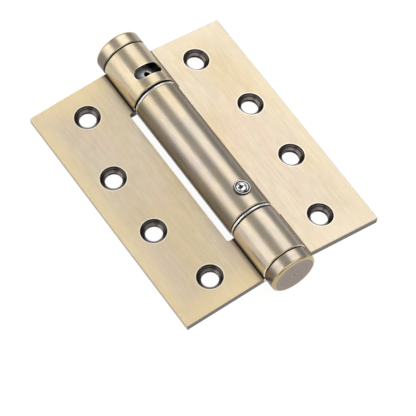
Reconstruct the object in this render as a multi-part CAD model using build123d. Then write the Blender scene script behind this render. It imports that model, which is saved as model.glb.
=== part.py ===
from build123d import *
import math
import os

# Spring loaded door hinge, lying on its back as a table would hold it.
# Frame: +Y runs along the hinge axis towards the adjusting window, +X points to the door leaf,
# +Z is up, on the countersunk side. The origin is on the table under the middle of the barrel.
# Sizes are millimetres and angles are degrees.

# Leaves
LEAF_LENGTH = 102.0
LEAF_WIDTH = 41.5  # from the hinge axis to the outer edge
LEAF_THICKNESS = 3.0
LEAF_SETBACK = 2.0  # how far the countersunk face lies behind the hinge axis
LEAF_EDGE_ROUND = 0.3
RELIEF_GAP = 2.2  # between a curl and the edge of the other leaf that is cut back past it
RELIEF_CORNER = 0.8
SWAGE_RADIUS = 2.5  # the bend where the plate's back runs into the curl

# Rolled knuckles and barrel
BARREL_RADIUS = 9.0
BARREL_HALF_LENGTH = 29.75
CURL_SEAM = 0.65  # the slit where the rolled end comes back to the plate
CURL_CHAMFER = 0.35

# Screw holes
HOLE_RADIUS = 3.2
COUNTERSINK_RADIUS = 4.9
OUTER_HOLE_U = 24.1
OUTER_HOLE_Y = 39.4
INNER_HOLE_U = 30.2
INNER_HOLE_Y = 13.0

# Adjusting window in the top knuckle
WINDOW_WIDTH = 4.8
WINDOW_CENTRE = 6.45  # from the knuckle's inner end to the middle of the window
WINDOW_FROM = 43.5
WINDOW_TO = 120.0

# End caps
CAP_LENGTH = 5.25
CAP_SEAM = 0.45
CAP_CHAMFER = 0.3
CAP_ROUND = 1.1
SPIGOT_LENGTH = 6.0
PUNCH_RADIUS = 0.5
PUNCH_DEPTH = 0.5

# Washers
STEEL_WASHER_STEP = 0.1  # how far its rim lies inside the barrel's surface
STEEL_WASHER_THICKNESS = 0.8
SLIP_WASHER_STEP = 0.8
SLIP_WASHER_THICKNESS = 0.9
WASHER_EDGE = 0.2

# Tension hub and what turns with it
HUB_SHOULDER = 1.4  # the step from the neck down to the tip
HUB_EDGE = 0.4
HUB_HOLES = 6
HUB_HOLE_RADIUS = 1.2
HUB_HOLE_CHAMFER = 0.3
HUB_HOLE_DEPTH = 2.6
HUB_HOLE_ANGLE = 81.0
DRIVER_GAP = 0.3  # between the driver and the barrel's bore
DRIVER_LENGTH = 5.0
DRIVER_EDGE = 0.3
DRIVER_PIN_RADIUS = 0.8
TIP_SOCKET_DEPTH = 3.0

# Torsion spring and its guide rod
WIRE_RADIUS = 0.9
COIL_GAP = 0.6  # between the coil and the barrel's bore
COIL_PITCH = 2.3
TANG_LENGTH = 3.0
TANG_BEND = 1.5
TANG_CLEARANCE = 0.15
ROD_GAP = 1.3  # between the guide rod and the coil
ROD_SHOULDER = 0.8
ROD_SEAT_DEPTH = 3.0

# Anchor plug, ball-headed pin and its collar
ANCHOR_LENGTH = 16.0
BALL_PIN_INSET = 8.15  # from the barrel's lower end
BALL_PIN_ANGLE = 82.0
BALL_RADIUS = 2.5
BALL_SHANK_RADIUS = 1.5
BALL_SHANK_LENGTH = 6.5
COLLAR_RADIUS = 3.2
COLLAR_HEIGHT = 0.55  # above the barrel
COLLAR_SEAT = 1.0  # below the barrel's surface
COLLAR_RIM = 0.3
COLLAR_WEB = 0.8
BALL_GROOVE = 0.2

# Bushes and pivot
BARREL_BUSH_LENGTH = 6.0
BARREL_BUSH_WALL = 1.75
PIVOT_RADIUS = 3.0
PIVOT_BUSH_LENGTH = 5.0
PIVOT_BUSH_WALL = 1.55
PIVOT_HEAD_STEP = 1.6
PIVOT_HEAD_LENGTH = 1.2
PIVOT_EDGE = 0.5

# Clearances
NEAR = 0.01  # how close two places are that count as one
RUNNING_CLEARANCE = 0.05
FACE_CLEARANCE = 0.05
END_PLAY = 0.3  # between a cap's spigot and the hub or the pivot pin's head
SWING_CLEARANCE = 0.3  # between the ball's tip and the edge that it swings past

# Worked out from the sizes above
AXIS_HEIGHT = BARREL_RADIUS
LEAF_HALF = LEAF_LENGTH / 2
LEAF_BACK = LEAF_SETBACK + LEAF_THICKNESS
BARREL_BORE = BARREL_RADIUS - LEAF_THICKNESS
RELIEF_EDGE = BARREL_RADIUS + RELIEF_GAP
PLATE_ROOT = math.sqrt(BARREL_RADIUS**2 - LEAF_BACK**2)
KNUCKLE_GAP = STEEL_WASHER_THICKNESS + SLIP_WASHER_THICKNESS + 3 * FACE_CLEARANCE
KNUCKLE_INNER = BARREL_HALF_LENGTH + KNUCKLE_GAP
# At the bottom the slip washer's room is shared by two thin ones, one on each side of the steel washer.
THIN_SLIP_THICKNESS = (SLIP_WASHER_THICKNESS - FACE_CLEARANCE) / 2
SPIGOT_END = LEAF_HALF - SPIGOT_LENGTH
# The barrel and both outer back edges touch the table, which sets each leaf's slope.
LEAF_REACH = math.hypot(LEAF_WIDTH, LEAF_BACK)
LEAF_SLOPE = math.degrees(math.asin(BARREL_RADIUS / LEAF_REACH) - math.atan2(LEAF_BACK, LEAF_WIDTH))
COUNTERSINK_DEPTH = COUNTERSINK_RADIUS - HOLE_RADIUS
WINDOW_Y = KNUCKLE_INNER + WINDOW_CENTRE
HUB_RADIUS = BARREL_BORE - RUNNING_CLEARANCE
HUB_NECK_RADIUS = BARREL_BORE - BARREL_BUSH_WALL - RUNNING_CLEARANCE
HUB_TIP_RADIUS = HUB_NECK_RADIUS - HUB_SHOULDER
DRIVER_RADIUS = BARREL_BORE - DRIVER_GAP
HUB_BOTTOM = KNUCKLE_INNER + FACE_CLEARANCE
HUB_TOP = SPIGOT_END - END_PLAY
BUSH_BOTTOM = BARREL_HALF_LENGTH - BARREL_BUSH_LENGTH
DRIVER_TOP = BUSH_BOTTOM - FACE_CLEARANCE
DRIVER_BOTTOM = DRIVER_TOP - DRIVER_LENGTH
ANCHOR_BOTTOM = -BARREL_HALF_LENGTH
ANCHOR_TOP = ANCHOR_BOTTOM + ANCHOR_LENGTH
COIL_TOP = DRIVER_BOTTOM - WIRE_RADIUS - FACE_CLEARANCE
COIL_BOTTOM = ANCHOR_TOP + WIRE_RADIUS + FACE_CLEARANCE
COIL_RADIUS = BARREL_BORE - COIL_GAP - WIRE_RADIUS  # to the middle of the wire
COIL_TURNS = (COIL_TOP - COIL_BOTTOM) / COIL_PITCH
COIL_SLOPE = math.atan2(COIL_PITCH, 2 * math.pi * COIL_RADIUS)
TANG_SIDE = TANG_BEND * (1 - math.sin(COIL_SLOPE))
TANG_RISE = TANG_BEND * math.cos(COIL_SLOPE)
TANG_RADIUS = math.hypot(COIL_RADIUS, TANG_SIDE)
TANG_ANGLE = math.degrees(math.atan2(TANG_SIDE, COIL_RADIUS))
TANG_REACH = TANG_LENGTH + TANG_RISE
UPPER_TANG_TURN = 360 * COIL_TURNS + TANG_ANGLE
ROD_RADIUS = COIL_RADIUS - WIRE_RADIUS - ROD_GAP
ROD_TIP_RADIUS = ROD_RADIUS - ROD_SHOULDER
BALL_PIN_Y = ANCHOR_BOTTOM + BALL_PIN_INSET
BALL_TIP = math.hypot(RELIEF_EDGE, LEAF_SETBACK) - SWING_CLEARANCE
SEAT_TOP = -KNUCKLE_INNER
PIVOT_HEAD = -SPIGOT_END + END_PLAY
SEAT_BOTTOM = PIVOT_HEAD + PIVOT_HEAD_LENGTH
PIVOT_TOP = ANCHOR_BOTTOM + PIVOT_BUSH_LENGTH
PIVOT_BUSH_RADIUS = PIVOT_RADIUS + RUNNING_CLEARANCE + PIVOT_BUSH_WALL
PIVOT_HEAD_RADIUS = PIVOT_RADIUS + PIVOT_HEAD_STEP

ON_AXIS = Pos(0, 0, AXIS_HEIGHT)


def turned(points):
    """A solid turned about the hinge axis from a closed outline of (radius, y) points."""
    outline = make_face(Polyline(*points, close=True))
    return ON_AXIS * revolve(outline, Axis.Y)


def sleeve(outer, inner, start, end):
    """A square-edged ring or rod about the hinge axis."""
    return turned([(inner, start), (outer, start), (outer, end), (inner, end)])


def eased_sleeve(outer, inner, start, end, edge):
    """A ring or rod about the hinge axis, with its two outer edges chamfered."""
    return turned(
        [
            (inner, start),
            (outer - edge, start),
            (outer, start + edge),
            (outer, end - edge),
            (outer - edge, end),
            (inner, end),
        ]
    )


def radial(angle, y):
    """A place on the hinge axis whose local Z points outwards at the angle, from +X up to +Z."""
    return Pos(0, y, AXIS_HEIGHT) * Rot(0, 90 - angle, 0)


def stud(radius, inner, outer):
    """A round bar along local Z, from one distance off the hinge axis to another."""
    return Pos(0, 0, (inner + outer) / 2) * Cylinder(radius, outer - inner)


def span(section, start, end):
    """A section drawn as (u, v), swept along the hinge from one y to another."""
    plane = Plane(origin=(0, end, 0), x_dir=(1, 0, 0), z_dir=(0, -1, 0))
    return extrude(plane * section, amount=end - start)


def block(u_from, u_to, start, end, v_from, v_to):
    """A box between two corners, in the leaf's own (u, y, v) frame."""
    size = (u_to - u_from, end - start, v_to - v_from)
    return Pos((u_from + u_to) / 2, (start + end) / 2, (v_from + v_to) / 2) * Box(*size)


def countersunk_hole():
    """The cut for one wood screw, with its mouth at local z = 0."""
    through = Cylinder(HOLE_RADIUS, 2 * LEAF_BACK)
    mouth = Cone(
        HOLE_RADIUS, COUNTERSINK_RADIUS, COUNTERSINK_DEPTH, align=(Align.CENTER, Align.CENTER, Align.MAX)
    )
    return through + mouth


def plate():
    """The flat plate of a leaf with its screw holes, before its inner edge is cut."""
    flat = block(PLATE_ROOT, LEAF_WIDTH, -LEAF_HALF, LEAF_HALF, -LEAF_BACK, -LEAF_SETBACK)
    outer_edges = flat.edges().filter_by(lambda edge: edge.center().X > PLATE_ROOT + LEAF_EDGE_ROUND)
    flat = fillet(outer_edges, LEAF_EDGE_ROUND)
    for u, y in ((OUTER_HOLE_U, OUTER_HOLE_Y), (INNER_HOLE_U, INNER_HOLE_Y)):
        for side in (1, -1):
            flat -= Pos(u, side * y, -LEAF_SETBACK) * countersunk_hole()
    return flat


def curl(start, end):
    """One rolled knuckle: the tube, the web that swages it to the plate, and the open seam."""
    tube = eased_sleeve(BARREL_RADIUS, BARREL_BORE, start, end, CURL_CHAMFER)
    tube = Pos(0, 0, -AXIS_HEIGHT) * tube
    reach = BARREL_RADIUS + SWAGE_RADIUS
    bend_v = -(LEAF_BACK + SWAGE_RADIUS)
    bend_u = math.sqrt(reach**2 - bend_v**2)
    touch = BARREL_RADIUS / reach
    web = make_face(
        Polyline(
            (0, -LEAF_SETBACK),
            (bend_u, -LEAF_SETBACK),
            (bend_u, -LEAF_BACK),
            (bend_u * touch, bend_v * touch),
            (0, bend_v * touch),
            close=True,
        )
    )
    web -= Pos(bend_u, bend_v) * Circle(SWAGE_RADIUS)
    web -= Circle(BARREL_BORE)
    seam_reach = 2 * LEAF_THICKNESS
    seam = Pos(BARREL_BORE + seam_reach / 2, CURL_SEAM / 2 - LEAF_SETBACK) * Rectangle(seam_reach, CURL_SEAM)
    return tube + span(web, start, end) - span(seam, start, end)


def relief_corners(leaf, y):
    """Rounds the inner corners that the reliefs leave beside the curls."""
    corners = leaf.edges().filter_by(Axis.Z).filter_by(
        lambda edge: abs(edge.center().X - RELIEF_EDGE) < NEAR and abs(abs(edge.center().Y) - y) < NEAR
    )
    return fillet(corners, RELIEF_CORNER)


def window():
    """The round-ended slot across the top knuckle that shows the tension hub."""
    end_angle = math.degrees(math.asin(WINDOW_WIDTH / 2 / BARREL_RADIUS))
    first = WINDOW_FROM + end_angle
    last = WINDOW_TO - end_angle
    reach = 2 * BARREL_RADIUS - BARREL_BORE
    inside = BARREL_BORE / 2
    wall = Pos((inside + reach) / 2, WINDOW_Y) * Rectangle(reach - inside, WINDOW_WIDTH)
    sector = ON_AXIS * Rot(0, -last, 0) * revolve(wall, Axis.Y, revolution_arc=last - first)
    for angle in (first, last):
        sector += radial(angle, WINDOW_Y) * stud(WINDOW_WIDTH / 2, inside, reach)
    return sector


def frame_leaf():
    """The leaf with a knuckle at each end, cut back between them past the barrel."""
    leaf = plate()
    leaf -= block(0, RELIEF_EDGE, -KNUCKLE_INNER, KNUCKLE_INNER, -2 * LEAF_BACK, 0)
    for start, end in ((KNUCKLE_INNER, LEAF_HALF), (-LEAF_HALF, -KNUCKLE_INNER)):
        leaf += curl(start, end)
    leaf = relief_corners(leaf, KNUCKLE_INNER)
    leaf = mirror(leaf, Plane.YZ)
    return ON_AXIS * Rot(0, -LEAF_SLOPE, 0) * leaf - window()


def door_leaf():
    """The leaf with the spring barrel at its middle, cut back past both knuckles."""
    leaf = plate()
    for start, end in ((BARREL_HALF_LENGTH, LEAF_HALF), (-LEAF_HALF, -BARREL_HALF_LENGTH)):
        leaf -= block(0, RELIEF_EDGE, start, end, -2 * LEAF_BACK, 0)
    leaf += curl(-BARREL_HALF_LENGTH, BARREL_HALF_LENGTH)
    leaf = relief_corners(leaf, BARREL_HALF_LENGTH)
    leaf = ON_AXIS * Rot(0, LEAF_SLOPE, 0) * leaf
    collar_floor = BARREL_RADIUS - COLLAR_SEAT
    leaf -= radial(BALL_PIN_ANGLE, BALL_PIN_Y) * stud(COLLAR_RADIUS, collar_floor, 2 * BARREL_RADIUS)
    leaf -= radial(BALL_PIN_ANGLE, BALL_PIN_Y) * stud(BALL_SHANK_RADIUS, BARREL_BORE / 2, BARREL_RADIUS)
    return leaf


def end_cap(side):
    """A cap with a rounded rim, a centre mark and a spigot pressed into the knuckle's bore."""
    seat = LEAF_HALF + CAP_SEAM
    face = seat + CAP_LENGTH
    outline = Polyline(
        (0, SPIGOT_END),
        (BARREL_BORE - CAP_CHAMFER, SPIGOT_END),
        (BARREL_BORE, SPIGOT_END + CAP_CHAMFER),
        (BARREL_BORE, seat),
        (BARREL_RADIUS - CAP_CHAMFER, seat),
        (BARREL_RADIUS, seat + CAP_CHAMFER),
        (BARREL_RADIUS, face - CAP_ROUND),
    )
    rim = RadiusArc((BARREL_RADIUS, face - CAP_ROUND), (BARREL_RADIUS - CAP_ROUND, face), -CAP_ROUND)
    end_face = Polyline(
        (BARREL_RADIUS - CAP_ROUND, face),
        (PUNCH_RADIUS, face),
        (0, face - PUNCH_DEPTH),
        (0, SPIGOT_END),
    )
    cap = ON_AXIS * revolve(make_face(outline + rim + end_face), Axis.Y)
    return cap if side > 0 else mirror(cap, Plane.XZ)


def steel_washer(start, bore):
    """A bright thrust washer, from y = start upwards."""
    rim = BARREL_RADIUS - STEEL_WASHER_STEP
    end = start + STEEL_WASHER_THICKNESS
    return eased_sleeve(rim, bore + RUNNING_CLEARANCE, start, end, WASHER_EDGE)


def slip_washer(start, thickness, bore):
    """A dark low-friction washer, smaller than the steel one, from y = start upwards."""
    rim = BARREL_RADIUS - SLIP_WASHER_STEP
    return sleeve(rim, bore + RUNNING_CLEARANCE, start, start + thickness)


def tension_hub():
    """The drum behind the window, its neck through the barrel's bush, and its tip in the driver."""
    hub = turned(
        [
            (0, DRIVER_BOTTOM),
            (HUB_TIP_RADIUS, DRIVER_BOTTOM),
            (HUB_TIP_RADIUS, DRIVER_TOP),
            (HUB_NECK_RADIUS, DRIVER_TOP),
            (HUB_NECK_RADIUS, HUB_BOTTOM),
            (HUB_RADIUS - HUB_EDGE, HUB_BOTTOM),
            (HUB_RADIUS, HUB_BOTTOM + HUB_EDGE),
            (HUB_RADIUS, HUB_TOP - HUB_EDGE),
            (HUB_RADIUS - HUB_EDGE, HUB_TOP),
            (0, HUB_TOP),
        ]
    )
    hub -= sleeve(ROD_TIP_RADIUS + RUNNING_CLEARANCE, 0, DRIVER_BOTTOM, DRIVER_BOTTOM + TIP_SOCKET_DEPTH)
    hole_floor = HUB_RADIUS - HUB_HOLE_DEPTH
    mouth = Pos(0, 0, HUB_RADIUS) * Cone(
        HUB_HOLE_RADIUS,
        HUB_HOLE_RADIUS + 2 * HUB_HOLE_CHAMFER,
        2 * HUB_HOLE_CHAMFER,
    )
    for index in range(HUB_HOLES):
        angle = HUB_HOLE_ANGLE + index * 360 / HUB_HOLES
        place = radial(angle, WINDOW_Y)
        hub -= place * stud(HUB_HOLE_RADIUS, hole_floor, 2 * HUB_RADIUS)
        hub -= place * mouth
    hub -= driver_pin()
    return hub


def coil_turn(angle):
    """A turn about the hinge axis, counted the way that the coil winds."""
    return ON_AXIS * Rot(0, angle, 0) * Pos(0, 0, -AXIS_HEIGHT)


def tang_notch(start, end):
    """The open notch at +X, in a driver or plug, that takes one end of the spring."""
    notch_radius = WIRE_RADIUS + TANG_CLEARANCE
    notch = Pos(TANG_RADIUS, 0) * Circle(notch_radius)
    notch += Pos(TANG_RADIUS + BARREL_RADIUS / 2, 0) * Rectangle(BARREL_RADIUS, 2 * notch_radius)
    return ON_AXIS * span(notch, start, end)


def spring_driver():
    """The collar on the hub's tip that carries the spring's upper end round."""
    driver = eased_sleeve(DRIVER_RADIUS, HUB_TIP_RADIUS, DRIVER_BOTTOM, DRIVER_TOP, DRIVER_EDGE)
    upper_notch = tang_notch(DRIVER_BOTTOM, COIL_TOP + TANG_REACH + TANG_CLEARANCE)
    driver -= coil_turn(UPPER_TANG_TURN) * upper_notch
    return driver - driver_pin()


def driver_pin():
    """The cross pin through the driver and the hub's tip, square to the spring's upper tang."""
    middle = (DRIVER_TOP + DRIVER_BOTTOM + TIP_SOCKET_DEPTH) / 2
    length = 2 * (DRIVER_RADIUS - DRIVER_EDGE)
    return coil_turn(UPPER_TANG_TURN) * Pos(0, middle, AXIS_HEIGHT) * Cylinder(DRIVER_PIN_RADIUS, length)


def torsion_spring():
    """A coil of round wire, with each end bent over into a straight tang along the axis."""
    helix = Helix(COIL_PITCH, COIL_TOP - COIL_BOTTOM, COIL_RADIUS)
    lower_bend = Vector(COIL_RADIUS, -TANG_SIDE, -TANG_RISE)
    heading = helix % 1
    along = Vector(heading.X, heading.Y, 0).normalized()
    upper_bend = (helix @ 1) + along * TANG_SIDE + Vector(0, 0, TANG_RISE)
    tang = Vector(0, 0, TANG_LENGTH)
    wire = Wire(
        [
            Line(lower_bend - tang, lower_bend),
            TangentArc(lower_bend, helix @ 0, tangent=(0, 0, 1)),
            helix,
            TangentArc(helix @ 1, upper_bend, tangent=heading),
            Line(upper_bend, upper_bend + tang),
        ]
    )
    section = Plane(origin=wire @ 0, z_dir=wire % 0) * Circle(WIRE_RADIUS)
    return Pos(0, COIL_BOTTOM, AXIS_HEIGHT) * Rot(-90, 0, 0) * sweep(section, path=wire)


def guide_rod():
    """The rod that keeps the spring straight, seated in the anchor and free in the hub's tip."""
    seat = ANCHOR_TOP - ROD_SEAT_DEPTH
    shoulder = DRIVER_BOTTOM - FACE_CLEARANCE
    tip = DRIVER_BOTTOM + TIP_SOCKET_DEPTH - FACE_CLEARANCE
    return turned(
        [
            (0, seat),
            (ROD_RADIUS, seat),
            (ROD_RADIUS, shoulder),
            (ROD_TIP_RADIUS, shoulder),
            (ROD_TIP_RADIUS, tip),
            (0, tip),
        ]
    )


def spring_anchor():
    """The plug fixed in the barrel's lower end by the ball-headed pin."""
    anchor = sleeve(BARREL_BORE, 0, ANCHOR_BOTTOM, ANCHOR_TOP)
    anchor -= sleeve(ROD_RADIUS, 0, ANCHOR_TOP - ROD_SEAT_DEPTH, ANCHOR_TOP)
    lower_notch = tang_notch(COIL_BOTTOM - TANG_REACH - TANG_CLEARANCE, ANCHOR_TOP)
    anchor -= coil_turn(-TANG_ANGLE) * lower_notch
    anchor -= sleeve(PIVOT_BUSH_RADIUS, 0, ANCHOR_BOTTOM, ANCHOR_BOTTOM + PIVOT_BUSH_LENGTH)
    shank_end = BARREL_RADIUS - BALL_SHANK_LENGTH
    anchor -= radial(BALL_PIN_ANGLE, BALL_PIN_Y) * stud(BALL_SHANK_RADIUS, shank_end, BARREL_RADIUS)
    return anchor


def ball_pin():
    """The polished pin: a ball head that stands out of its collar, and a shank into the anchor."""
    dome_centre = BALL_TIP - BALL_RADIUS
    head_floor = BARREL_RADIUS - COLLAR_SEAT + COLLAR_WEB
    shank_end = BARREL_RADIUS - BALL_SHANK_LENGTH
    inside_head = BALL_TIP - BALL_RADIUS / 2
    pin = Pos(0, 0, dome_centre) * Sphere(BALL_RADIUS)
    pin &= stud(BALL_RADIUS, head_floor, BALL_TIP)
    pin += stud(BALL_SHANK_RADIUS, shank_end, inside_head)
    return radial(BALL_PIN_ANGLE, BALL_PIN_Y) * pin


def pin_collar():
    """The short collar round the ball, let into the barrel's wall."""
    floor = BARREL_RADIUS - COLLAR_SEAT
    top = BARREL_RADIUS + COLLAR_HEIGHT
    web = floor + COLLAR_WEB
    cup = BALL_RADIUS + BALL_GROOVE
    profile = Polyline(
        (BALL_SHANK_RADIUS, floor),
        (COLLAR_RADIUS, floor),
        (COLLAR_RADIUS, top - COLLAR_RIM),
        (COLLAR_RADIUS - COLLAR_RIM, top),
        (cup, top),
        (cup, web),
        (BALL_SHANK_RADIUS, web),
        close=True,
    )
    ring = revolve(Plane.XZ * make_face(profile), Axis.Z)
    return radial(BALL_PIN_ANGLE, BALL_PIN_Y) * ring


def barrel_bush():
    """The bronze bush in the barrel's top end, which the hub's neck turns in."""
    return sleeve(BARREL_BORE, HUB_NECK_RADIUS + RUNNING_CLEARANCE, BUSH_BOTTOM, BARREL_HALF_LENGTH)


def pivot_bush():
    """The bronze bush in the anchor, which turns on the pivot pin."""
    inner = PIVOT_RADIUS + RUNNING_CLEARANCE
    return sleeve(PIVOT_BUSH_RADIUS, inner, ANCHOR_BOTTOM, PIVOT_TOP)


def pivot_seat():
    """The steel sleeve pressed into the bottom knuckle, which holds the pivot pin."""
    return sleeve(BARREL_BORE, PIVOT_RADIUS, SEAT_BOTTOM, SEAT_TOP)


def pivot_pin():
    """The lower pivot: a headed pin up through the seat and the washers into the anchor's bush."""
    top = PIVOT_TOP - FACE_CLEARANCE
    return turned(
        [
            (0, PIVOT_HEAD),
            (PIVOT_HEAD_RADIUS, PIVOT_HEAD),
            (PIVOT_HEAD_RADIUS, SEAT_BOTTOM),
            (PIVOT_RADIUS, SEAT_BOTTOM),
            (PIVOT_RADIUS, top - PIVOT_EDGE),
            (PIVOT_RADIUS - PIVOT_EDGE, top),
            (0, top),
        ]
    )


def build():
    """Every piece of the hinge, by name."""
    steel_at_top = BARREL_HALF_LENGTH + FACE_CLEARANCE
    slip_at_top = steel_at_top + STEEL_WASHER_THICKNESS + FACE_CLEARANCE
    slip_below = -BARREL_HALF_LENGTH - FACE_CLEARANCE - THIN_SLIP_THICKNESS
    steel_below = slip_below - FACE_CLEARANCE - STEEL_WASHER_THICKNESS
    seat_below = steel_below - FACE_CLEARANCE - THIN_SLIP_THICKNESS
    return {
        "frame_leaf": frame_leaf(),
        "door_leaf": door_leaf(),
        "top_cap": end_cap(1),
        "bottom_cap": end_cap(-1),
        "upper_steel_washer": steel_washer(steel_at_top, HUB_NECK_RADIUS),
        "upper_slip_washer": slip_washer(slip_at_top, SLIP_WASHER_THICKNESS, HUB_NECK_RADIUS),
        "lower_slip_washer": slip_washer(slip_below, THIN_SLIP_THICKNESS, PIVOT_RADIUS),
        "lower_steel_washer": steel_washer(steel_below, PIVOT_RADIUS),
        "bottom_slip_washer": slip_washer(seat_below, THIN_SLIP_THICKNESS, PIVOT_RADIUS),
        "tension_hub": tension_hub(),
        "spring_driver": spring_driver(),
        "driver_pin": driver_pin(),
        "torsion_spring": torsion_spring(),
        "guide_rod": guide_rod(),
        "spring_anchor": spring_anchor(),
        "ball_pin": ball_pin(),
        "pin_collar": pin_collar(),
        "barrel_bush": barrel_bush(),
        "pivot_bush": pivot_bush(),
        "pivot_seat": pivot_seat(),
        "pivot_pin": pivot_pin(),
    }


os.makedirs("parts", exist_ok=True)
for name, piece in build().items():
    export_step(piece, f"parts/{name}.step")
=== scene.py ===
import math

import bpy
from mathutils import Matrix, Vector

# The finish, light and camera for a spring loaded door hinge in antique brass.
# Places and sizes are metres in the model's frame, and angles are radians.

MM = 0.001

# Which leaf a finish is for, as the sign of x there
FRAME_SIDE = -1
DOOR_SIDE = 1

# Sizes that the finishes follow
AXIS_HEIGHT = 9.0 * MM
BARREL_RADIUS = 9.0 * MM
LEAF_SLOPE = math.radians(5.564)
LEAF_WIDTH = 41.5 * MM
LEAF_HALF = 51.0 * MM
LEAF_FACE = -2.0 * MM
LEAF_BACK = -5.0 * MM
RELIEF_EDGE = 11.2 * MM
SCREW_PLACES = ((24.1 * MM, 39.4 * MM), (30.2 * MM, 13.0 * MM))
COUNTERSINK_RADIUS = 4.9 * MM
COUNTERSINK_DEPTH = 1.7 * MM
COUNTERSINK_FLOOR = LEAF_FACE - COUNTERSINK_DEPTH
FRAME_TUBE_ENDS = (31.6 * MM, 51.0 * MM)
DOOR_TUBE_ENDS = (29.75 * MM,)
CAP_FACE = 56.7 * MM
CAP_ROUND = 1.1 * MM
CAP_SIDE_END = CAP_FACE - CAP_ROUND
CAP_FACE_RADIUS = BARREL_RADIUS - CAP_ROUND
WINDOW_Y = 38.05 * MM
WINDOW_HALF_WIDTH = 2.4 * MM
WINDOW_MIDDLE = math.radians(81.75)
WINDOW_HALF_SPAN = math.radians(22.78)
HUB_RADIUS = 5.95 * MM
HUB_NECK_END = 31.7 * MM
BALL_PIN_Y = -21.6 * MM
BALL_PIN_ANGLE = math.radians(82.0)
COLLAR_TOP = 9.55 * MM
COLLAR_CUP = 2.7 * MM
BALL_MIDDLE = 8.58 * MM

# Further than any distance in the model
FAR_AWAY = 1.0

# Camera, fitted to the photo's edges and holes. Its lens and sensor are millimetres.
CAMERA_AIM = Vector((-10.17 * MM, -17.81 * MM, AXIS_HEIGHT))
CAMERA_DISTANCE = 1.00164
CAMERA_AZIMUTH = math.radians(39.01)
CAMERA_ELEVATION = math.radians(58.455)
CAMERA_ROLL = math.radians(5.62)
CAMERA_LENS = 245.06
CAMERA_SENSOR = 36.0
CAMERA_CLIP = 0.05

# Floor and lights. A light's size is across the hinge and along it.
FLOOR_HALF = 3.0
FLOOR_COLOUR = (0.9, 0.9, 0.9)
FLOOR_GLOW = 0.92
FLOOR_SHADE = (0.14, 0.14, 0.14)
ROOM_COLOUR = (1.0, 1.0, 1.0)
ROOM_GLOW = 0.35
LIGHT_DISTANCE = 1.2
STRIP_LIFT = math.radians(24.0)
STRIP_SIZE = (0.945, 1.6)

# Linear colours
BRASS_WARM = (0.80, 0.66, 0.43)
BRASS_PALE = (0.81, 0.70, 0.54)
BRASS_ROSY = (0.82, 0.65, 0.50)
BRASS_RUBBED = (0.92, 0.77, 0.46)
BRASS_HANDLED = (1.0, 0.81, 0.46)
BRASS_POLISHED = (0.84, 0.74, 0.57)
BRASS_WORN = (0.95, 0.88, 0.74)
BRASS_GOLD = (0.58, 0.46, 0.24)
STREAK_PATINA = (0.33, 0.275, 0.22)
TUBE_STAIN = (0.43, 0.415, 0.46)
TUBE_GOLD = (0.56, 0.45, 0.22)
CAP_STAIN = (0.40, 0.36, 0.44)
# Painted shade on the sides of the tubes and caps, standing in for dark reflections there
PAINTED_FLANK_SHADE = (0.034, 0.028, 0.027)
# Painted shade on a leaf's cut edges
PAINTED_EDGE_SHADE = (0.17, 0.155, 0.15)
# Painted shade deep in the bores, seams, gaps and holes
PAINTED_DEEP_SHADE = (0.012, 0.010, 0.010)
CAP_FACE_PATINA = (0.25, 0.20, 0.165)
CAP_FACE_LIGHT = (0.33, 0.27, 0.23)
# A countersink's darkest and lightest colours; the darkest is also painted shade in its bore and towards its
# rim
SINK_DARK = (0.02, 0.017, 0.016)
SINK_LIGHT = (0.30, 0.26, 0.235)
STEEL_BRIGHT = (0.93, 0.93, 0.92)
STEEL_DARK = (0.42, 0.42, 0.43)
# Painted dark reflections in patches on the ball
PAINTED_DARK_REFLECTION = (0.10, 0.10, 0.11)
# Blackened steel, which on the ball is painted shade low down where it meets the collar
STEEL_BLACK = (0.035, 0.03, 0.028)
SPRING_STEEL = (0.20, 0.20, 0.21)
BRONZE = (0.45, 0.29, 0.15)
POLYMER = (0.006, 0.006, 0.007)

# Noise: cells to a metre along x, y and z, then detail and roughness
FINE_STREAKS = ((6500.0, 6500.0, 6500.0), 4.0, 0.62)
COARSE_STREAKS = ((2200.0, 2200.0, 2200.0), 3.0, 0.5)
PATCHES = ((55.0, 30.0, 55.0), 3.0, 0.5)
BLOTCHES = ((420.0, 240.0, 420.0), 3.0, 0.6)
TINTS = ((130.0, 50.0, 130.0), 2.0, 0.5)
TUBE_MOTTLE = ((320.0, 90.0, 320.0), 4.0, 0.65)
SINK_RINGS = ((2600.0, 2600.0, 2600.0), 2.0, 0.5)
CAP_RINGS = ((1300.0, 1300.0, 1300.0), 3.0, 0.6)
TURNED_RINGS = ((6000.0, 6000.0, 6000.0), 3.0, 0.5)
STEEL_WEAR = ((300.0, 300.0, 300.0), 3.0, 0.5)
BLACKENED_GRAIN = ((1200.0, 1200.0, 1200.0), 3.0, 0.5)
# For the ball's painted dark reflections
BALL_REFLECTION_PATCHES = ((600.0, 600.0, 600.0), 2.0, 0.5)
MOULDED_GRAIN = ((2500.0, 2500.0, 2500.0), 3.0, 0.5)

# What brass streaks follow. A leaf's run along the hinge, so they change slowly that way, and a cap's are
# rings, which are coarser.
BRUSHED_ALONG = (1.0, 0.02, 1.0)
TURNED_ROUND = (0.35, 0.35, 0.35)

# Where in the noise's values a change lies, from low to high
WIDE_NOISE = (0.3, 0.7)
MIDDLE_NOISE = (0.35, 0.65)
TINT_NOISE = (0.50, 0.68)
STREAK_NOISE = (0.34, 0.66)
MOTTLE_NOISE = (0.36, 0.64)
SINK_RING_NOISE = (0.38, 0.60)
CAP_RING_NOISE = (0.38, 0.62)
HUB_WEAR_NOISE = (0.25, 0.5)
# For the ball's painted dark reflections
REFLECTION_PATCH_NOISE = (0.40, 0.50)

# Where a change lies on a tube or cap, as distances past its radius
SKIN = (0.05 * MM, 0.4 * MM)
STAINED_SKIN = (0.1 * MM, 0.6 * MM)
FLAT_BEYOND = (0.2 * MM, 1.0 * MM)
BORE = (-0.55 * MM, -0.40 * MM)
CHAMFER_SKIN = (-0.45 * MM, -0.3 * MM)
WINDOW_SKIN = (-0.15 * MM, -0.05 * MM)

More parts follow.
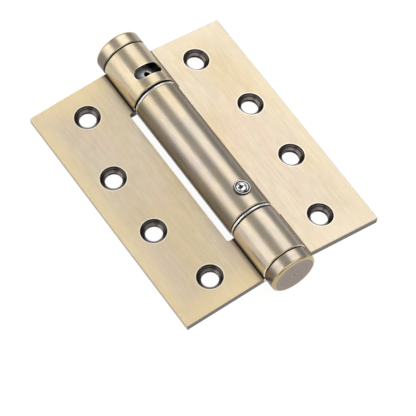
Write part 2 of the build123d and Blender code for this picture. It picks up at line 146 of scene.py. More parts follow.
# Where a change lies on a leaf, as distances past the edge, end, face or rim that it is used with
TUBE_FOOT = (-0.1 * MM, 0.1 * MM)
SEAM_LINE = (0.25 * MM, 0.60 * MM)
SEAM_FADE = (0.4 * MM, 2.0 * MM)
RELIEF_SEAM = (0.25 * MM, 0.70 * MM)
RELIEF_WALL = (1.0 * MM, 1.2 * MM)
BESIDE_KNUCKLE = (0.0, 1.0 * MM)
RUBBED_EDGE = (-9.0 * MM, 0.0)
RUBBED_END = (-14.0 * MM, 0.0)
OUTER_END = (-0.5 * MM, -0.3 * MM)
BELOW_FACE = (-0.3 * MM, -0.2 * MM)
NEAR_FACE = (-0.3 * MM, -0.1 * MM)
ABOVE_FACE = (0.05 * MM, 0.15 * MM)
ABOVE_BACK = (0.02 * MM, 0.1 * MM)
SINK_WALL = (-0.06 * MM, 0.0)
SINK_RIM = (0.25 * MM, 0.5 * MM)
SINK_INWARDS = (-1.5 * MM, -0.2 * MM)
SINK_BORE = (-0.1 * MM, 0.1 * MM)
CHAMFER = (0.30 * MM, 0.42 * MM)
WINDOW_RIM = (0.22 * MM, 0.42 * MM)

# Where a change lies on a cap, the hub, the collar or the ball, as distances past the size it is used with
CAP_SEAM_END = (-0.1 * MM, 0.0)
CAP_RIM = (-0.1 * MM, 0.15 * MM)
CAP_FACE_EDGE = (-0.15 * MM, 0.1 * MM)
HUB_HOLE = (-0.75 * MM, -0.6 * MM)
COLLAR_LIP = (0.12 * MM, 0.22 * MM)
COLLAR_LIP_TOP = (-0.12 * MM, -0.04 * MM)
# Over the next band the painted shade low on the ball fades out
BALL_SHADE_FADE = (-0.2 * MM, 1.3 * MM)

# Where a change lies along x or y, in a part of the surface normal, or in a share
ACROSS_MIDDLE = (-3.0 * MM, 3.0 * MM)
STAIN_TO_GOLD = (8.0 * MM, 36.0 * MM)
UPRIGHT_WALL = (0.35, 0.6)
END_WALL = (0.8, 0.9)
OUTER_WALL = (0.5, 0.9)
ON_CAP_FACE = (0.4, 0.6)

# Painted shade on a tube by height above the axis, in radii: the low and high end of each layer, and its
# strength
FLANK_SHADE_LAYERS = ((0.62, 0.97, 0.70), (0.20, 0.60, 0.12), (-0.30, 0.30, 0.15))
UNDERSIDE = (-0.62, -0.15)

# How strong that painted shade is on a cap's left and right side
CAP_FLANKS = (1.05, 0.75)

# How far the crown of a tube, where the painted shade is least, is turned towards the frame leaf, as a slope
CROWN_SHIFT = 0.22

# How strongly patina, stains, marks and painted shade show, from 0 to 1
TINT_SHARE = 0.6
STREAK_SHARE = 0.20
BLOTCH_SHARE = 0.08
TUBE_STAIN_SHARES = (0.1, 0.4)
CAP_STAIN_SHARE = 0.3
UNDERSIDE_SHARE = 0.35
SEAM_LINE_SHARE = 0.60
SEAM_FADE_SHARE = 0.24
RELIEF_SEAM_SHARE = 0.85
OUTER_EDGE_SHARE = 0.55
SHADED_EDGE_SHARE = 0.92

# How light a countersink's dark rings are, and its painted shade towards its rim, where 1 is its lightest
SINK_RING_LIGHT = 0.15
SINK_RIM_LIGHT = 0.15

# How strongly rubbed brass shows. At a leaf's ends it is partly painted light, and on a countersink's rim
# partly a painted highlight.
RUBBED_WEAR_AND_LIGHT = 0.5
WINDOW_WEAR = 0.75
SINK_RIM_WEAR_AND_GLINT = 0.8
CAP_RIM_WEAR = 0.75
TOP_CAP_WEAR = 0.4

# How much of two noises that are added is the first
FINE_PART = 0.65
RING_PART = 0.5

# How much darker or lighter a finish's second colour is
TURNED_DARKER = 0.8
BLACKENED_LIGHTER = 2.0
MOULDED_LIGHTER = 2.2

# Roughness. A pair is from the noise's low end to its high end, and a spread is of factors.
LEAF_ROUGHNESS = (0.35, 0.25)
LEAF_FLAT_ROUGHER = 0.12
SINK_SMOOTHER = 0.14
CAP_ROUGHNESS = (0.32, 0.23)
CAP_FACE_ROUGHER = 0.12
TURNED_ROUGHNESS_SPREAD = (0.8, 1.2)
HUB_ROUGHNESS = 0.34
BLACKENED_ROUGHNESS = 0.3
BALL_ROUGHNESS = 0.08
MOULDED_ROUGHNESS = 0.55
MOULDED_SPECULAR = 0.15

# Bumps: strength and depth
LEAF_BUMP = (0.35, 0.02 * MM)
CAP_BUMP = (0.3, 0.02 * MM)
TURNED_BUMP = (0.15, 0.01 * MM)
BLACKENED_BUMP = (0.1, 0.01 * MM)
MOULDED_BUMP = (0.2, 0.02 * MM)


def past(edge, band):
    """The low and high ends of a band that is given as distances past an edge."""
    low, high = band
    return edge + low, edge + high


def lit(colour, factor):
    """The colour made lighter or darker."""
    return tuple(factor * part for part in colour)


class Graph:
    """A material's node tree, with short calls for the nodes that the finishes use."""

    def __init__(self, name):
        self.material = bpy.data.materials.new(name)
        self.material.use_nodes = True
        self.tree = self.material.node_tree
        self.tree.nodes.clear()
        self.output = self.tree.nodes.new("ShaderNodeOutputMaterial")
        coordinates = self.tree.nodes.new("ShaderNodeTexCoord")
        self.place = coordinates.outputs["Object"]
        self.facing = coordinates.outputs["Normal"]

    def join(self, value, socket):
        """Sets an input from a number or a colour, or links it to another node's output."""
        if isinstance(value, bpy.types.NodeSocket):
            self.tree.links.new(value, socket)
        elif isinstance(value, tuple) and socket.type == "RGBA":
            socket.default_value = (*value, 1.0)
        else:
            socket.default_value = value

    def math(self, operation, *values):
        """One step of arithmetic, named as the math node names it."""
        node = self.tree.nodes.new("ShaderNodeMath")
        node.operation = operation
        for index, value in enumerate(values):
            self.join(value, node.inputs[index])
        return node.outputs[0]

    def times(self, first, *others):
        """The product of all the values."""
        for value in others:
            first = self.math("MULTIPLY", first, value)
        return first

    def minus(self, first, second):
        """The first value less the second."""
        return self.math("SUBTRACT", first, second)

    def size(self, value):
        """The value without its sign."""
        return self.math("ABSOLUTE", value)

    def average(self, first, second, share):
        """The share of the first value, and the rest of the second."""
        return self.math("ADD", self.times(first, share), self.times(second, 1.0 - share))

    def axes(self, vector):
        """The three numbers of a vector."""
        node = self.tree.nodes.new("ShaderNodeSeparateXYZ")
        self.join(vector, node.inputs[0])
        return node.outputs[0], node.outputs[1], node.outputs[2]

    def length(self, first, second):
        """How far the point (first, second) is from zero."""
        squares = (self.times(part, part) for part in (first, second))
        return self.math("SQRT", self.math("ADD", *squares))

    def turned(self, first, second, angle):
        """The pair (first, second) in axes that are turned by the angle, from second towards first."""
        first_along, second_above = (self.times(part, math.cos(angle)) for part in (first, second))
        first_above, second_along = (self.times(part, math.sin(angle)) for part in (first, second))
        along = self.minus(first_along, second_along)
        above = self.math("ADD", first_above, second_above)
        return along, above

    def vector(self, x, y, z):
        """Three numbers as a vector."""
        node = self.tree.nodes.new("ShaderNodeCombineXYZ")
        for socket, value in zip(node.inputs, (x, y, z)):
            self.join(value, socket)
        return node.outputs[0]

    def scaled(self, vector, factors):
        """The vector with each axis multiplied, to stretch a texture."""
        node = self.tree.nodes.new("ShaderNodeVectorMath")
        node.operation = "MULTIPLY"
        self.join(vector, node.inputs[0])
        node.inputs[1].default_value = factors
        return node.outputs[0]

    def noise(self, vector, texture):
        """Noise from 0 to 1 over the vector. The texture is its cells, detail and roughness."""
        cells, detail, roughness = texture
        node = self.tree.nodes.new("ShaderNodeTexNoise")
        self.join(self.scaled(vector, cells), node.inputs["Vector"])
        node.inputs["Scale"].default_value = 1.0
        node.inputs["Detail"].default_value = detail
        node.inputs["Roughness"].default_value = roughness
        return node.outputs[0]

    def steps(self, value, band, out_low=0.0, out_high=1.0):
        """A smooth step of the value over the band, from out_low at its low end to out_high at the other."""
        low, high = band
        node = self.tree.nodes.new("ShaderNodeMapRange")
        node.interpolation_type = "SMOOTHSTEP"
        self.join(value, node.inputs["Value"])
        node.inputs["From Min"].default_value = low
        node.inputs["From Max"].default_value = high
        self.join(out_low, node.inputs["To Min"])
        self.join(out_high, node.inputs["To Max"])
        return node.outputs[0]

    def falls(self, value, band, start=1.0):
        """A smooth step of the value over the band, from start at its low end down to 0."""
        return self.steps(value, band, start, 0.0)

    def blend(self, share, first, second):
        """The first colour where share is 0 and the second where it is 1."""
        node = self.tree.nodes.new("ShaderNodeMix")
        node.data_type = "RGBA"
        self.join(share, node.inputs["Factor"])
        self.join(first, node.inputs["A"])
        self.join(second, node.inputs["B"])
        return node.outputs["Result"]

    def bump(self, height, relief):
        """A normal that follows the height. The relief is its strength and depth."""
        strength, depth = relief
        node = self.tree.nodes.new("ShaderNodeBump")
        node.inputs["Strength"].default_value = strength
        node.inputs["Distance"].default_value = depth
        self.join(height, node.inputs["Height"])
        return node.outputs[0]

    def surface(self, colour, roughness, normal=None, metallic=1.0, specular=0.5):
        """Ends the material in a Principled shader, which is a metal unless it is told otherwise."""
        node = self.tree.nodes.new("ShaderNodeBsdfPrincipled")
        self.join(colour, node.inputs["Base Color"])
        self.join(roughness, node.inputs["Roughness"])
        node.inputs["Metallic"].default_value = metallic
        node.inputs["Specular IOR Level"].default_value = specular
        if normal is not None:
            self.join(normal, node.inputs["Normal"])
        self.tree.links.new(node.outputs[0], self.output.inputs["Surface"])
        return self.material


class Place:
    """Where a point of the surface is: round the hinge axis, and in a leaf's own directions.

    The leaf's directions hold only for the leaf on the given side.
    """

    def __init__(self, graph, side=DOOR_SIDE):
        self.x, self.y, above_floor = graph.axes(graph.place)
        self.height = graph.minus(above_floor, AXIS_HEIGHT)
        self.radius = graph.length(self.x, self.height)
        self.off_middle = graph.size(self.y)
        across = graph.times(self.x, float(side))
        self.u, self.v = graph.turned(across, self.height, LEAF_SLOPE)
        normal_x, self.normal_y, normal_z = graph.axes(graph.facing)
        across = graph.times(normal_x, float(side))
        self.normal_u, self.normal_v = graph.turned(across, normal_z, LEAF_SLOPE)


def flank_shade_share(graph, place, left, right):
    """Painted shade on a tube or cap: little on its crown, more down each side, and none away from it."""
    shifted = graph.minus(place.height, graph.times(place.x, CROWN_SHIFT))
    rise = graph.math("DIVIDE", shifted, BARREL_RADIUS * math.hypot(1.0, CROWN_SHIFT))
    share = 0.0
    for low, high, strength in FLANK_SHADE_LAYERS:
        share = graph.math("ADD", share, graph.falls(rise, (low, high), strength))
    share = graph.times(share, graph.steps(rise, UNDERSIDE, UNDERSIDE_SHARE, 1.0))
    on_tube = graph.falls(place.radius, past(BARREL_RADIUS, SKIN))
    return graph.times(on_tube, share, graph.steps(place.x, ACROSS_MIDDLE, left, right))


def deep_shade_share(graph, place):
    """Where shade is painted deep in: 1 in the bores, the window's walls and the seams between knuckle and
    cap, and 0 outside.
    """
    inside = graph.falls(place.radius, past(BARREL_RADIUS, BORE))
    off_cap_face = graph.falls(place.off_middle, past(CAP_SIDE_END, CAP_SEAM_END))
    return graph.times(inside, off_cap_face)


def chamfer_share(graph, place, ends):
    """1 on the small chamfers where a tube ends, at the given distances from the middle."""
    near = 0.0
    for end in ends:
        off_end = graph.size(graph.minus(place.off_middle, end))
        near = graph.math("MAXIMUM", graph.falls(off_end, CHAMFER), near)
    outside = graph.steps(place.radius, past(BARREL_RADIUS, CHAMFER_SKIN))
    on_tube = graph.falls(place.radius, past(BARREL_RADIUS, SKIN))
    return graph.times(outside, on_tube, near)


def window_rim(graph, place):
    """1 on the rubbed edge of the adjusting window, which is a slot with round ends laid round the tube."""
    angle = graph.math("ARCTAN2", place.height, place.x)
    off_middle = graph.size(graph.minus(angle, WINDOW_MIDDLE))
    past_span = graph.math("MAXIMUM", graph.minus(off_middle, WINDOW_HALF_SPAN), 0.0)
    gap = graph.length(graph.times(past_span, BARREL_RADIUS), graph.minus(place.y, WINDOW_Y))
    near = graph.falls(gap, past(WINDOW_HALF_WIDTH, WINDOW_RIM))
    outside = graph.steps(place.radius, past(BARREL_RADIUS, WINDOW_SKIN))
    return graph.times(near, outside)


def rubbed_and_lit_share(graph, place):
    """Where a leaf is lighter: rubbed towards its outer edge, and towards its ends partly painted light, and
    not where it curls up.
    """
    outer = graph.steps(place.u, past(LEAF_WIDTH, RUBBED_EDGE), 0.0, RUBBED_WEAR_AND_LIGHT)
    ends = graph.steps(place.off_middle, past(LEAF_HALF, RUBBED_END), 0.0, RUBBED_WEAR_AND_LIGHT)
    off_tube = graph.steps(place.u, (BARREL_RADIUS, RELIEF_EDGE))
    return graph.times(graph.math("MAXIMUM", outer, ends), off_tube)


def seam_shade_share(graph, place, side):
    """Painted shade on the strip of the leaf's face that the rolled end comes down to, and beside the
    knuckles.
    """
    line = graph.falls(place.u, past(BARREL_RADIUS, SEAM_LINE), SEAM_LINE_SHARE)
    fade = graph.falls(place.u, past(BARREL_RADIUS, SEAM_FADE), SEAM_FADE_SHARE)
    share = graph.math("ADD", line, fade)
    if side == DOOR_SIDE:
        beside_knuckle = graph.steps(place.off_middle, past(FRAME_TUBE_ENDS[0], BESIDE_KNUCKLE))
        relief = graph.falls(place.u, past(RELIEF_EDGE, RELIEF_SEAM), RELIEF_SEAM_SHARE)
        share = graph.math("MAXIMUM", share, graph.times(beside_knuckle, relief))
    below = graph.steps(place.v, past(LEAF_FACE, BELOW_FACE))
    above = graph.falls(place.v, past(LEAF_FACE, ABOVE_FACE))
    return graph.times(below, above, share)


def edge_shares(graph, place):
    """Where shade is painted on a leaf's cut edges: 1 on all of them, and 1 on those beside the tubes, where
    the darkest shade is painted.
    """
    upright = graph.falls(graph.size(place.normal_v), UPRIGHT_WALL)
    off_tube = graph.steps(place.u, past(BARREL_RADIUS, TUBE_FOOT))
    edge = graph.times(upright, off_tube)
    relief_wall = graph.times(edge, graph.falls(place.u, past(RELIEF_EDGE, RELIEF_WALL)))
    gap_wall = graph.steps(graph.size(place.normal_y), END_WALL)
    shaded = graph.math("MAXIMUM", relief_wall, gap_wall)
    outer_end = graph.steps(place.off_middle, past(LEAF_HALF, OUTER_END))
    return edge, graph.times(shaded, graph.minus(1.0, outer_end))


def screw_distance(graph, place):
    """How far a point of a leaf is from the middle of the nearest screw hole."""
    nearest = FAR_AWAY
    for u, y in SCREW_PLACES:
        gap = graph.length(graph.minus(place.u, u), graph.minus(place.off_middle, y))
        nearest = graph.math("MINIMUM", gap, nearest)
    return nearest


def cone_colour(graph, place, nearest):
    """A countersink's colour: turned rings on the cone, with painted shade towards its rim, and painted shade
    in the bore.
    """
    rings = graph.noise(graph.vector(nearest, 0.0, 0.0), SINK_RINGS)
    rings = graph.steps(rings, SINK_RING_NOISE, SINK_RING_LIGHT, 1.0)
    inwards = graph.steps(nearest, past(COUNTERSINK_RADIUS, SINK_INWARDS), 1.0, SINK_RIM_LIGHT)
    cone = graph.blend(graph.times(rings, inwards), SINK_DARK, SINK_LIGHT)
    bore = graph.falls(place.v, past(COUNTERSINK_FLOOR, SINK_BORE))
    return graph.blend(bore, cone, SINK_DARK)


def countersunk(graph, place, colour):
    """A leaf's colour with its countersinks and their rims, which are rubbed and partly a painted highlight,
    and 1 in the countersinks.
    """
    nearest = screw_distance(graph, place)
    rim = graph.falls(nearest, past(COUNTERSINK_RADIUS, SINK_RIM))
    near_face = graph.steps(place.v, past(LEAF_FACE, NEAR_FACE))
    # The rim is pale brass: rubbed, and partly a painted highlight
    colour = graph.blend(graph.times(rim, near_face, SINK_RIM_WEAR_AND_GLINT), colour, BRASS_WORN)
    inside = graph.falls(nearest, past(COUNTERSINK_RADIUS, SINK_WALL))
    above_back = graph.steps(place.v, past(LEAF_BACK, ABOVE_BACK))
    sink = graph.times(inside, above_back)
    return graph.blend(sink, colour, cone_colour(graph, place, nearest)), sink


def cut_edges(graph, place, colour, sink):
    """A leaf's colour with painted shade on its cut edges, which is lighter on the outer one."""
    edge, shaded = edge_shares(graph, place)
    outer = graph.steps(place.normal_u, OUTER_WALL, 1.0, OUTER_EDGE_SHARE)
    colour = graph.blend(graph.times(edge, graph.minus(1.0, sink), outer), colour, PAINTED_EDGE_SHADE)
    return graph.blend(graph.times(shaded, SHADED_EDGE_SHARE), colour, PAINTED_DEEP_SHADE)


def stained_tube(graph, place, colour):
    """A leaf's colour with the mottled stain on its tubes, which turns golden up the hinge."""
    on_tube = graph.falls(place.radius, past(BARREL_RADIUS, STAINED_SKIN))
    mottle = graph.steps(graph.noise(graph.place, TUBE_MOTTLE), MOTTLE_NOISE, *TUBE_STAIN_SHARES)
    stain = graph.blend(graph.steps(place.y, STAIN_TO_GOLD), TUBE_STAIN, TUBE_GOLD)
    return graph.blend(graph.times(on_tube, mottle), colour, stain)


def brass_base(graph, grain):
    """The brass before wear and patina, with streaks that follow the grain.

    Gives the colour, how light the streaks are, and the fine noise that they come from.
    """
    patches = graph.steps(graph.noise(graph.place, PATCHES), MIDDLE_NOISE)
    colour = graph.blend(patches, BRASS_WARM, BRASS_PALE)
    tints = graph.steps(graph.noise(graph.place, TINTS), TINT_NOISE, 0.0, TINT_SHARE)
    colour = graph.blend(tints, colour, BRASS_ROSY)
    fine = graph.noise(grain, FINE_STREAKS)
    streak = graph.average(fine, graph.noise(grain, COARSE_STREAKS), FINE_PART)
    streaked = graph.falls(streak, STREAK_NOISE, STREAK_SHARE)
    stained = graph.falls(graph.noise(graph.place, BLOTCHES), WIDE_NOISE, BLOTCH_SHARE)
    colour = graph.blend(graph.math("ADD", streaked, stained), colour, STREAK_PATINA)
    return colour, streak, fine


def leaf_brass(name, side, flanks, upper_flanks, tube_ends, end_wear_and_glint, rubbed_colour):
    """Antique brass, brushed along the hinge.

    The flanks are how strong the painted shade is on a tube's left and right side, below the middle and above
    it.
    End wear is how bright the chamfers at the tube's ends are, rubbed and partly a painted highlight, and the
    rubbed colour is the leaf's own towards its outer edge and its ends, where it is partly painted light.
    """
    graph = Graph(name)
    place = Place(graph, side)
    colour, streak, fine = brass_base(graph, graph.scaled(graph.place, BRUSHED_ALONG))
    # Lighter towards the outer edge, rubbed, and towards the ends, partly painted light
    colour = graph.blend(rubbed_and_lit_share(graph, place), colour, rubbed_colour)
    colour = stained_tube(graph, place, colour)
    left, right = (graph.steps(place.y, ACROSS_MIDDLE, *pair) for pair in zip(flanks, upper_flanks))
    # Painted shade down the tube's sides
    colour = graph.blend(flank_shade_share(graph, place, left, right), colour, PAINTED_FLANK_SHADE)
    # The chamfers are painted bright: rubbed, and partly a painted highlight
    worn = graph.times(chamfer_share(graph, place, tube_ends), end_wear_and_glint)
    colour = graph.blend(worn, colour, BRASS_RUBBED)
    if side == FRAME_SIDE:
        colour = graph.blend(graph.times(window_rim(graph, place), WINDOW_WEAR), colour, BRASS_WORN)
    # Painted shade along the seam and beside the knuckles
    colour = graph.blend(seam_shade_share(graph, place, side), colour, PAINTED_DEEP_SHADE)
    colour, sink = countersunk(graph, place, colour)
    colour = cut_edges(graph, place, colour, sink)
    # Painted shade deep in the bores, the window and the seams
    colour = graph.blend(deep_shade_share(graph, place), colour, PAINTED_DEEP_SHADE)
    flat = graph.steps(place.radius, past(BARREL_RADIUS, FLAT_BEYOND), 0.0, LEAF_FLAT_ROUGHER)
    roughness = graph.math("ADD", graph.steps(streak, WIDE_NOISE, *LEAF_ROUGHNESS), flat)
    roughness = graph.minus(roughness, graph.times(sink, SINK_SMOOTHER))
    return graph.surface(colour, roughness, graph.bump(fine, LEAF_BUMP))


def frame_leaf_brass():
    """The frame leaf: its lower knuckle has less painted shade on the left, and its outer edge is a warm
    brass.
    """
    return leaf_brass(
        "frame_leaf_brass",
        FRAME_SIDE,
        flanks=(0.15, 0.6),
        upper_flanks=(0.3, 0.3),
        tube_ends=FRAME_TUBE_ENDS,
        end_wear_and_glint=0.5,
        rubbed_colour=BRASS_HANDLED,
    )


def door_leaf_brass():
    """The door leaf: its barrel has more painted shade on both sides, and its outer edge is a pale brass."""
    return leaf_brass(
        "door_leaf_brass",
        DOOR_SIDE,
        flanks=(1.0, 0.85),
        upper_flanks=(1.0, 0.85),
        tube_ends=DOOR_TUBE_ENDS,
        end_wear_and_glint=0.35,
        rubbed_colour=BRASS_POLISHED,
    )


def cap_brass():
    """Antique brass on a cap: painted shade low on its side and in its seam, a rubbed golden rim and a dull
    turned face.
    """
    graph = Graph("cap_brass")
    place = Place(graph)
    grain = graph.scaled(graph.vector(place.radius, place.y, 0.0), TURNED_ROUND)
    colour, streak, fine = brass_base(graph, grain)
    colour = graph.blend(CAP_STAIN_SHARE, colour, CAP_STAIN)
    colour = graph.blend(graph.steps(place.y, ACROSS_MIDDLE, 0.0, TOP_CAP_WEAR), colour, BRASS_RUBBED)
    # Painted shade down the cap's sides
    colour = graph.blend(flank_shade_share(graph, place, *CAP_FLANKS), colour, PAINTED_FLANK_SHADE)
    past_side = graph.steps(place.off_middle, past(CAP_SIDE_END, CAP_RIM))
    colour = graph.blend(graph.times(past_side, CAP_RIM_WEAR), colour, BRASS_GOLD)
    rings = graph.noise(graph.vector(place.radius, 0.0, 0.0), CAP_RINGS)
    dull = graph.blend(graph.steps(rings, CAP_RING_NOISE), CAP_FACE_PATINA, CAP_FACE_LIGHT)
    on_face = graph.times(graph.falls(place.radius, past(CAP_FACE_RADIUS, CAP_FACE_EDGE)), past_side)
    colour = graph.blend(on_face, colour, dull)
    # Painted shade in the seam between cap and knuckle
    colour = graph.blend(deep_shade_share(graph, place), colour, PAINTED_DEEP_SHADE)
    face = graph.steps(on_face, ON_CAP_FACE, 0.0, CAP_FACE_ROUGHER)
    roughness = graph.math("ADD", graph.steps(streak, WIDE_NOISE, *CAP_ROUGHNESS), face)
    return graph.surface(colour, roughness, graph.bump(fine, CAP_BUMP))


def turned_metal(name, colour, roughness):
    """Plain steel or bronze, with fine rings round the hinge axis."""
    graph = Graph(name)
    place = Place(graph)
    rings = graph.noise(graph.vector(place.radius, place.y, 0.0), TURNED_RINGS)
    worn = graph.noise(graph.place, STEEL_WEAR)
    shade = graph.steps(graph.average(rings, worn, RING_PART), MIDDLE_NOISE)
    smoothest, roughest = (roughness * factor for factor in TURNED_ROUGHNESS_SPREAD)
    return graph.surface(
        graph.blend(shade, lit(colour, TURNED_DARKER), colour),
        graph.steps(worn, WIDE_NOISE, smoothest, roughest),
        graph.bump(rings, TURNED_BUMP),
    )


def hub_steel():
    """The tension hub: polished, with painted shade inside its holes."""
    graph = Graph("hub_steel")
    place = Place(graph)
    worn = graph.steps(graph.noise(graph.place, STEEL_WEAR), HUB_WEAR_NOISE)
    colour = graph.blend(worn, STEEL_DARK, STEEL_BRIGHT)
    hole = graph.falls(place.radius, past(HUB_RADIUS, HUB_HOLE))
    past_neck = graph.math("LESS_THAN", HUB_NECK_END, place.y)
    # Painted shade inside the holes
    colour = graph.blend(graph.times(hole, past_neck), colour, PAINTED_DEEP_SHADE)
    return graph.surface(colour, HUB_ROUGHNESS)


def pin_axes(graph, place):
    """How far a point is from the ball pin's middle line, and how far along it from the hinge axis."""
    across, along = graph.turned(place.x, place.height, math.pi / 2 - BALL_PIN_ANGLE)
    return graph.length(across, graph.minus(place.y, BALL_PIN_Y)), along


def blackened_steel():
    """The pin's collar: blackened, and rubbed bright on the lip round the ball."""
    graph = Graph("blackened_steel")
    off_pin, along = pin_axes(graph, Place(graph))
    grain = graph.noise(graph.place, BLACKENED_GRAIN)
    dark = graph.blend(graph.steps(grain, MIDDLE_NOISE), STEEL_BLACK, lit(STEEL_BLACK, BLACKENED_LIGHTER))
    lip = graph.falls(off_pin, past(COLLAR_CUP, COLLAR_LIP))
    top = graph.steps(along, past(COLLAR_TOP, COLLAR_LIP_TOP))
    colour = graph.blend(graph.times(lip, top), dark, STEEL_BRIGHT)
    return graph.surface(colour, BLACKENED_ROUGHNESS, graph.bump(grain, BLACKENED_BUMP))


def ball_steel():
    """The ball: polished, with painted dark reflections in patches, and painted shade low on it where it
    meets the collar.
    """
    graph = Graph("ball_steel")
    along = pin_axes(graph, Place(graph))[1]
    # Patches of painted dark reflection
    painted_reflections = graph.steps(graph.noise(graph.place, BALL_REFLECTION_PATCHES), REFLECTION_PATCH_NOISE)
    steel = graph.blend(painted_reflections, PAINTED_DARK_REFLECTION, STEEL_BRIGHT)
    # Painted shade low on the ball, where it meets the collar
    unshaded = graph.steps(along, past(BALL_MIDDLE, BALL_SHADE_FADE))
    return graph.surface(graph.blend(unshaded, STEEL_BLACK, steel), BALL_ROUGHNESS)


def moulded_polymer():
    """Black acetal for the slip washers."""
    graph = Graph("black_polymer")
    grain = graph.noise(graph.place, MOULDED_GRAIN)
    return graph.surface(
        graph.blend(graph.steps(grain, MIDDLE_NOISE), POLYMER, lit(POLYMER, MOULDED_LIGHTER)),
        MOULDED_ROUGHNESS,
        graph.bump(grain, MOULDED_BUMP),
        metallic=0.0,
        specular=MOULDED_SPECULAR,
    )


def dress(frame):
    """Gives every node its finish."""
    washer = turned_metal("washer_steel", STEEL_BRIGHT, roughness=0.3)
    machined = turned_metal("machined_steel", STEEL_DARK, roughness=0.38)
    wire = turned_metal("spring_wire", SPRING_STEEL, roughness=0.4)
    bronze = turned_metal("bearing_bronze", BRONZE, roughness=0.45)
    nodes_by_finish = (
        (frame_leaf_brass(), ("frame_leaf",)),
        (door_leaf_brass(), ("door_leaf",)),
        (cap_brass(), ("top_cap", "bottom_cap")),
        (blackened_steel(), ("pin_collar",)),
        (washer, ("upper_steel_washer", "lower_steel_washer")),
        (hub_steel(), ("tension_hub",)),
        (ball_steel(), ("ball_pin",)),
        (machined, ("spring_driver", "driver_pin", "guide_rod", "spring_anchor", "pivot_seat", "pivot_pin")),
        (moulded_polymer(), ("upper_slip_washer", "lower_slip_washer", "bottom_slip_washer")),
        (wire, ("torsion_spring",)),
        (bronze, ("barrel_bush", "pivot_bush")),
    )
    for finish, nodes in nodes_by_finish:
        for node in nodes:
            for slot in frame["nodes"][node].material_slots:
                slot.material = finish


def floor_finish():
    """Pale in the room's light, and to the camera and in reflections a white glow with a faint shadow."""
    graph = Graph("floor")
    nodes = graph.tree.nodes
    links = graph.tree.links
    plain_floor = nodes.new("ShaderNodeBsdfDiffuse")
    plain_floor.inputs["Color"].default_value = (*FLOOR_COLOUR, 1.0)
    glow = nodes.new("ShaderNodeEmission")
    glow.inputs["Strength"].default_value = FLOOR_GLOW
    faint = nodes.new("ShaderNodeBsdfDiffuse")
    faint.inputs["Color"].default_value = (*FLOOR_SHADE, 1.0)
    glow_and_shadow = nodes.new("ShaderNodeAddShader")
    links.new(glow.outputs[0], glow_and_shadow.inputs[0])
    links.new(faint.outputs[0], glow_and_shadow.inputs[1])
    path = nodes.new("ShaderNodeLightPath")
    seen = graph.math("MAXIMUM", path.outputs["Is Camera Ray"], path.outputs["Is Glossy Ray"])
    seen = graph.math("MAXIMUM", seen, path.outputs["Is Transmission Ray"])
    mix = nodes.new("ShaderNodeMixShader")
    graph.join(seen, mix.inputs[0])
    links.new(plain_floor.outputs[0], mix.inputs[1])
    links.new(glow_and_shadow.outputs[0], mix.inputs[2])
    links.new(mix.outputs[0], graph.output.inputs["Surface"])
    return graph.material


def floor():
    """A plane that the hinge lies on."""
    mesh = bpy.data.meshes.new("floor")
    corners = [(x * FLOOR_HALF, y * FLOOR_HALF, 0.0) for x, y in ((-1, -1), (1, -1), (1, 1), (-1, 1))]
    mesh.from_pydata(corners, [], [(0, 1, 2, 3)])
    mesh.materials.append(floor_finish())
    plane = bpy.data.objects.new("floor", mesh)
    bpy.context.scene.collection.objects.link(plane)


def softbox(name, angle, lift, size, radiance):
    """An area light, at an angle round the hinge axis from +X up to +Z and lifted towards +Y."""
    data = bpy.data.lights.new(name, "AREA")
    data.shape = "RECTANGLE"
    data.size, data.size_y = size
    data.energy = radiance * math.pi * size[0] * size[1]
    lamp = bpy.data.objects.new(name, data)
    bpy.context.scene.collection.objects.link(lamp)
    flat = math.cos(lift)
    towards = Vector((math.cos(angle) * flat, math.sin(lift), math.sin(angle) * flat))
    along = Vector((-math.cos(angle) * math.sin(lift), flat, -math.sin(angle) * math.sin(lift)))
    across = along.cross(towards)
    turn = Matrix((across, along, towards)).transposed()
    lamp.matrix_world = Matrix.Translation(towards * LIGHT_DISTANCE) @ turn.to_4x4()


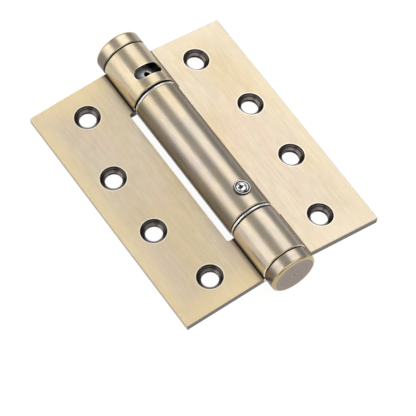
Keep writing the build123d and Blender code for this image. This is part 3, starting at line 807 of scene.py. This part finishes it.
def lights():
    """A strip light on each side of the hinge, a broad one beyond its lower end, and a dim room."""
    softbox("key_right", angle=math.radians(60.0), lift=STRIP_LIFT, size=STRIP_SIZE, radiance=1.07)
    softbox("fill_left", angle=math.radians(151.0), lift=STRIP_LIFT, size=STRIP_SIZE, radiance=1.12)
    softbox("back_fill", angle=math.radians(90.0), lift=math.radians(-38.0), size=(1.8, 1.0), radiance=0.85)
    world = bpy.data.worlds.new("room")
    bpy.context.scene.world = world
    world.use_nodes = True
    background = world.node_tree.nodes["Background"]
    background.inputs["Color"].default_value = (*ROOM_COLOUR, 1.0)
    background.inputs["Strength"].default_value = ROOM_GLOW


def camera():
    """The photo's viewpoint."""
    level = math.cos(CAMERA_ELEVATION)
    drop = math.sin(CAMERA_ELEVATION)
    forward = Vector((math.sin(CAMERA_AZIMUTH) * level, math.cos(CAMERA_AZIMUTH) * level, -drop))
    level_right = Vector((math.cos(CAMERA_AZIMUTH), -math.sin(CAMERA_AZIMUTH), 0.0))
    level_up = level_right.cross(forward)
    right = level_right * math.cos(CAMERA_ROLL) + level_up * math.sin(CAMERA_ROLL)
    up = level_up * math.cos(CAMERA_ROLL) - level_right * math.sin(CAMERA_ROLL)
    data = bpy.data.cameras.new("camera")
    data.sensor_width = CAMERA_SENSOR
    data.lens = CAMERA_LENS
    data.clip_start = CAMERA_CLIP
    view = bpy.data.objects.new("camera", data)
    bpy.context.scene.collection.objects.link(view)
    turn = Matrix((right, up, -forward)).transposed()
    view.matrix_world = Matrix.Translation(CAMERA_AIM - forward * CAMERA_DISTANCE) @ turn.to_4x4()
    bpy.context.scene.camera = view


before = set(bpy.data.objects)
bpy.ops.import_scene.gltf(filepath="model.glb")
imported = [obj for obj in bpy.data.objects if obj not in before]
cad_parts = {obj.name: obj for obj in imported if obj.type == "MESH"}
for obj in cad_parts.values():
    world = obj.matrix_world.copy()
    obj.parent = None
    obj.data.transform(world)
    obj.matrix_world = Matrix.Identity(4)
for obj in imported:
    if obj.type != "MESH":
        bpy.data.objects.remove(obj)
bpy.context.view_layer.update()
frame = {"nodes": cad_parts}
bpy.context.scene.view_settings.view_transform = "Standard"
camera()
lights()
floor()
dress(frame)
